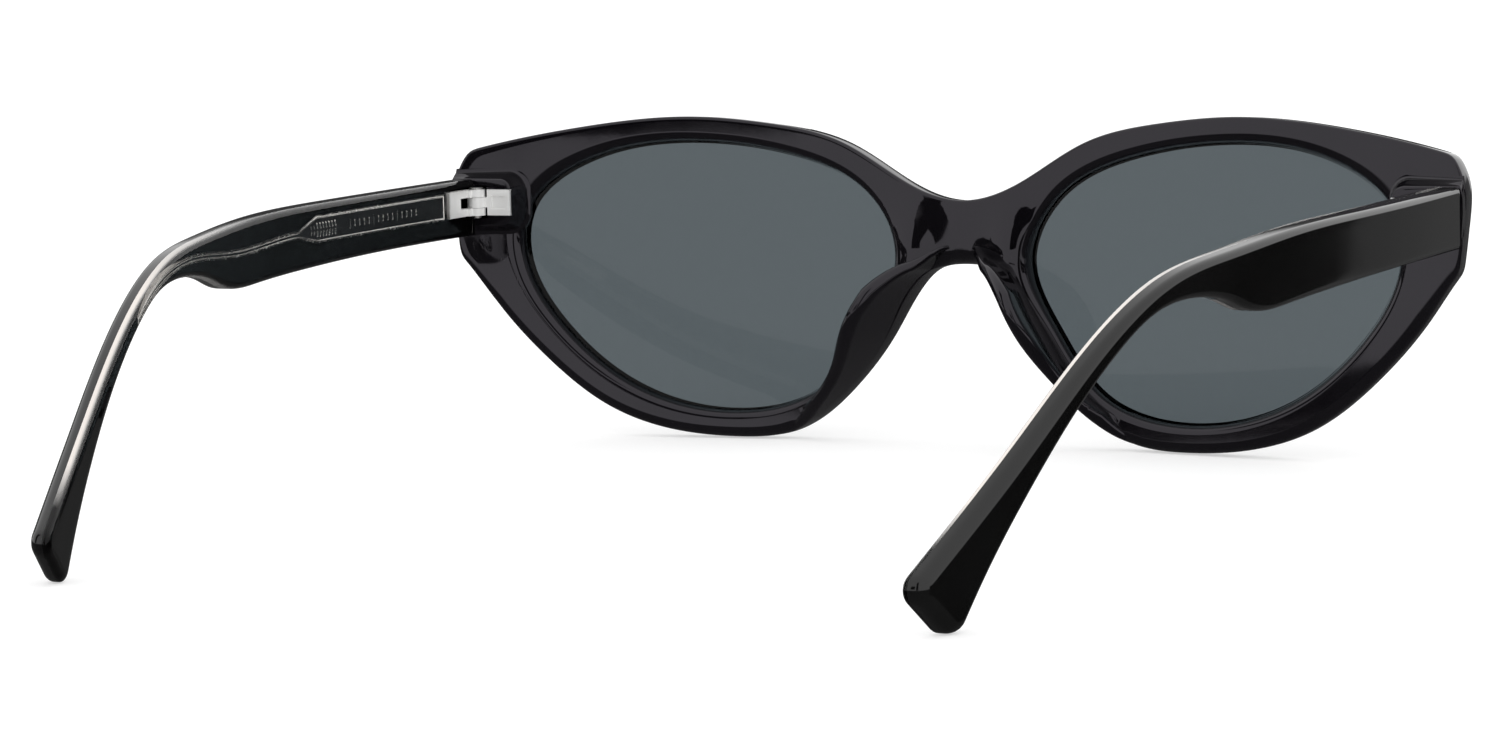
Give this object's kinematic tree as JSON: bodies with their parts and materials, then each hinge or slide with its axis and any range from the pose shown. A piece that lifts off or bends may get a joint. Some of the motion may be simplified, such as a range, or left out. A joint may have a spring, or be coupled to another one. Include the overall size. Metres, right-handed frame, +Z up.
{
  "type": "cat eye sunglasses",
  "caption": "Cat eye sunglasses with a curved acetate front, tinted lenses, bonded nose pads and two laminated temples that fold on barrel hinges.",
  "frame": {"origin": "middle of the footprint of the open sunglasses, on the surface that they stand on", "axes": "+X to the wearer's left, -Y where the wearer looks, temples towards +Y, +Z up"},
  "size_m": [0.1446, 0.1438, 0.0442],
  "materials": {
    "acetate_front": "polished black acetate",
    "acetate_temple": "polished black acetate lamina",
    "acetate_clear": "polished clear acetate lamina",
    "lens_tint": "grey tinted, polished",
    "hinge_metal": "nickel silver, satin",
    "screw_steel": "plain steel",
    "wire_metal": "nickel silver, rolled"
  },
  "bodies": {
    "front": {"front_frame": "acetate_front", "end_block_left": "acetate_front", "end_block_right": "acetate_front", "nose_pad_left": "acetate_front", "nose_pad_right": "acetate_front", "lens_left": "lens_tint", "lens_right": "lens_tint", "front_hinge_leaf_left": "hinge_metal", "front_hinge_leaf_right": "hinge_metal"},
    "temple_left": {"temple_outer_left": "acetate_temple", "temple_inner_left": "acetate_clear", "core_wire_left": "wire_metal", "temple_hinge_leaf_left": "hinge_metal", "hinge_screw_left": "screw_steel"},
    "temple_right": {"temple_outer_right": "acetate_temple", "temple_inner_right": "acetate_clear", "core_wire_right": "wire_metal", "temple_hinge_leaf_right": "hinge_metal", "hinge_screw_right": "screw_steel"}
  },
  "joints": [
    {"name": "temple_left_fold", "type": "hinge", "parent": "front", "child": "temple_left", "pos_m": [0.0681, -0.0565, 0.0328], "axis": [0, 0, 1], "range_deg": [0, 84]},
    {"name": "temple_right_fold", "type": "hinge", "parent": "front", "child": "temple_right", "pos_m": [-0.0681, -0.0565, 0.0328], "axis": [0, 0, -1], "range_deg": [0, 74]}
  ]
}
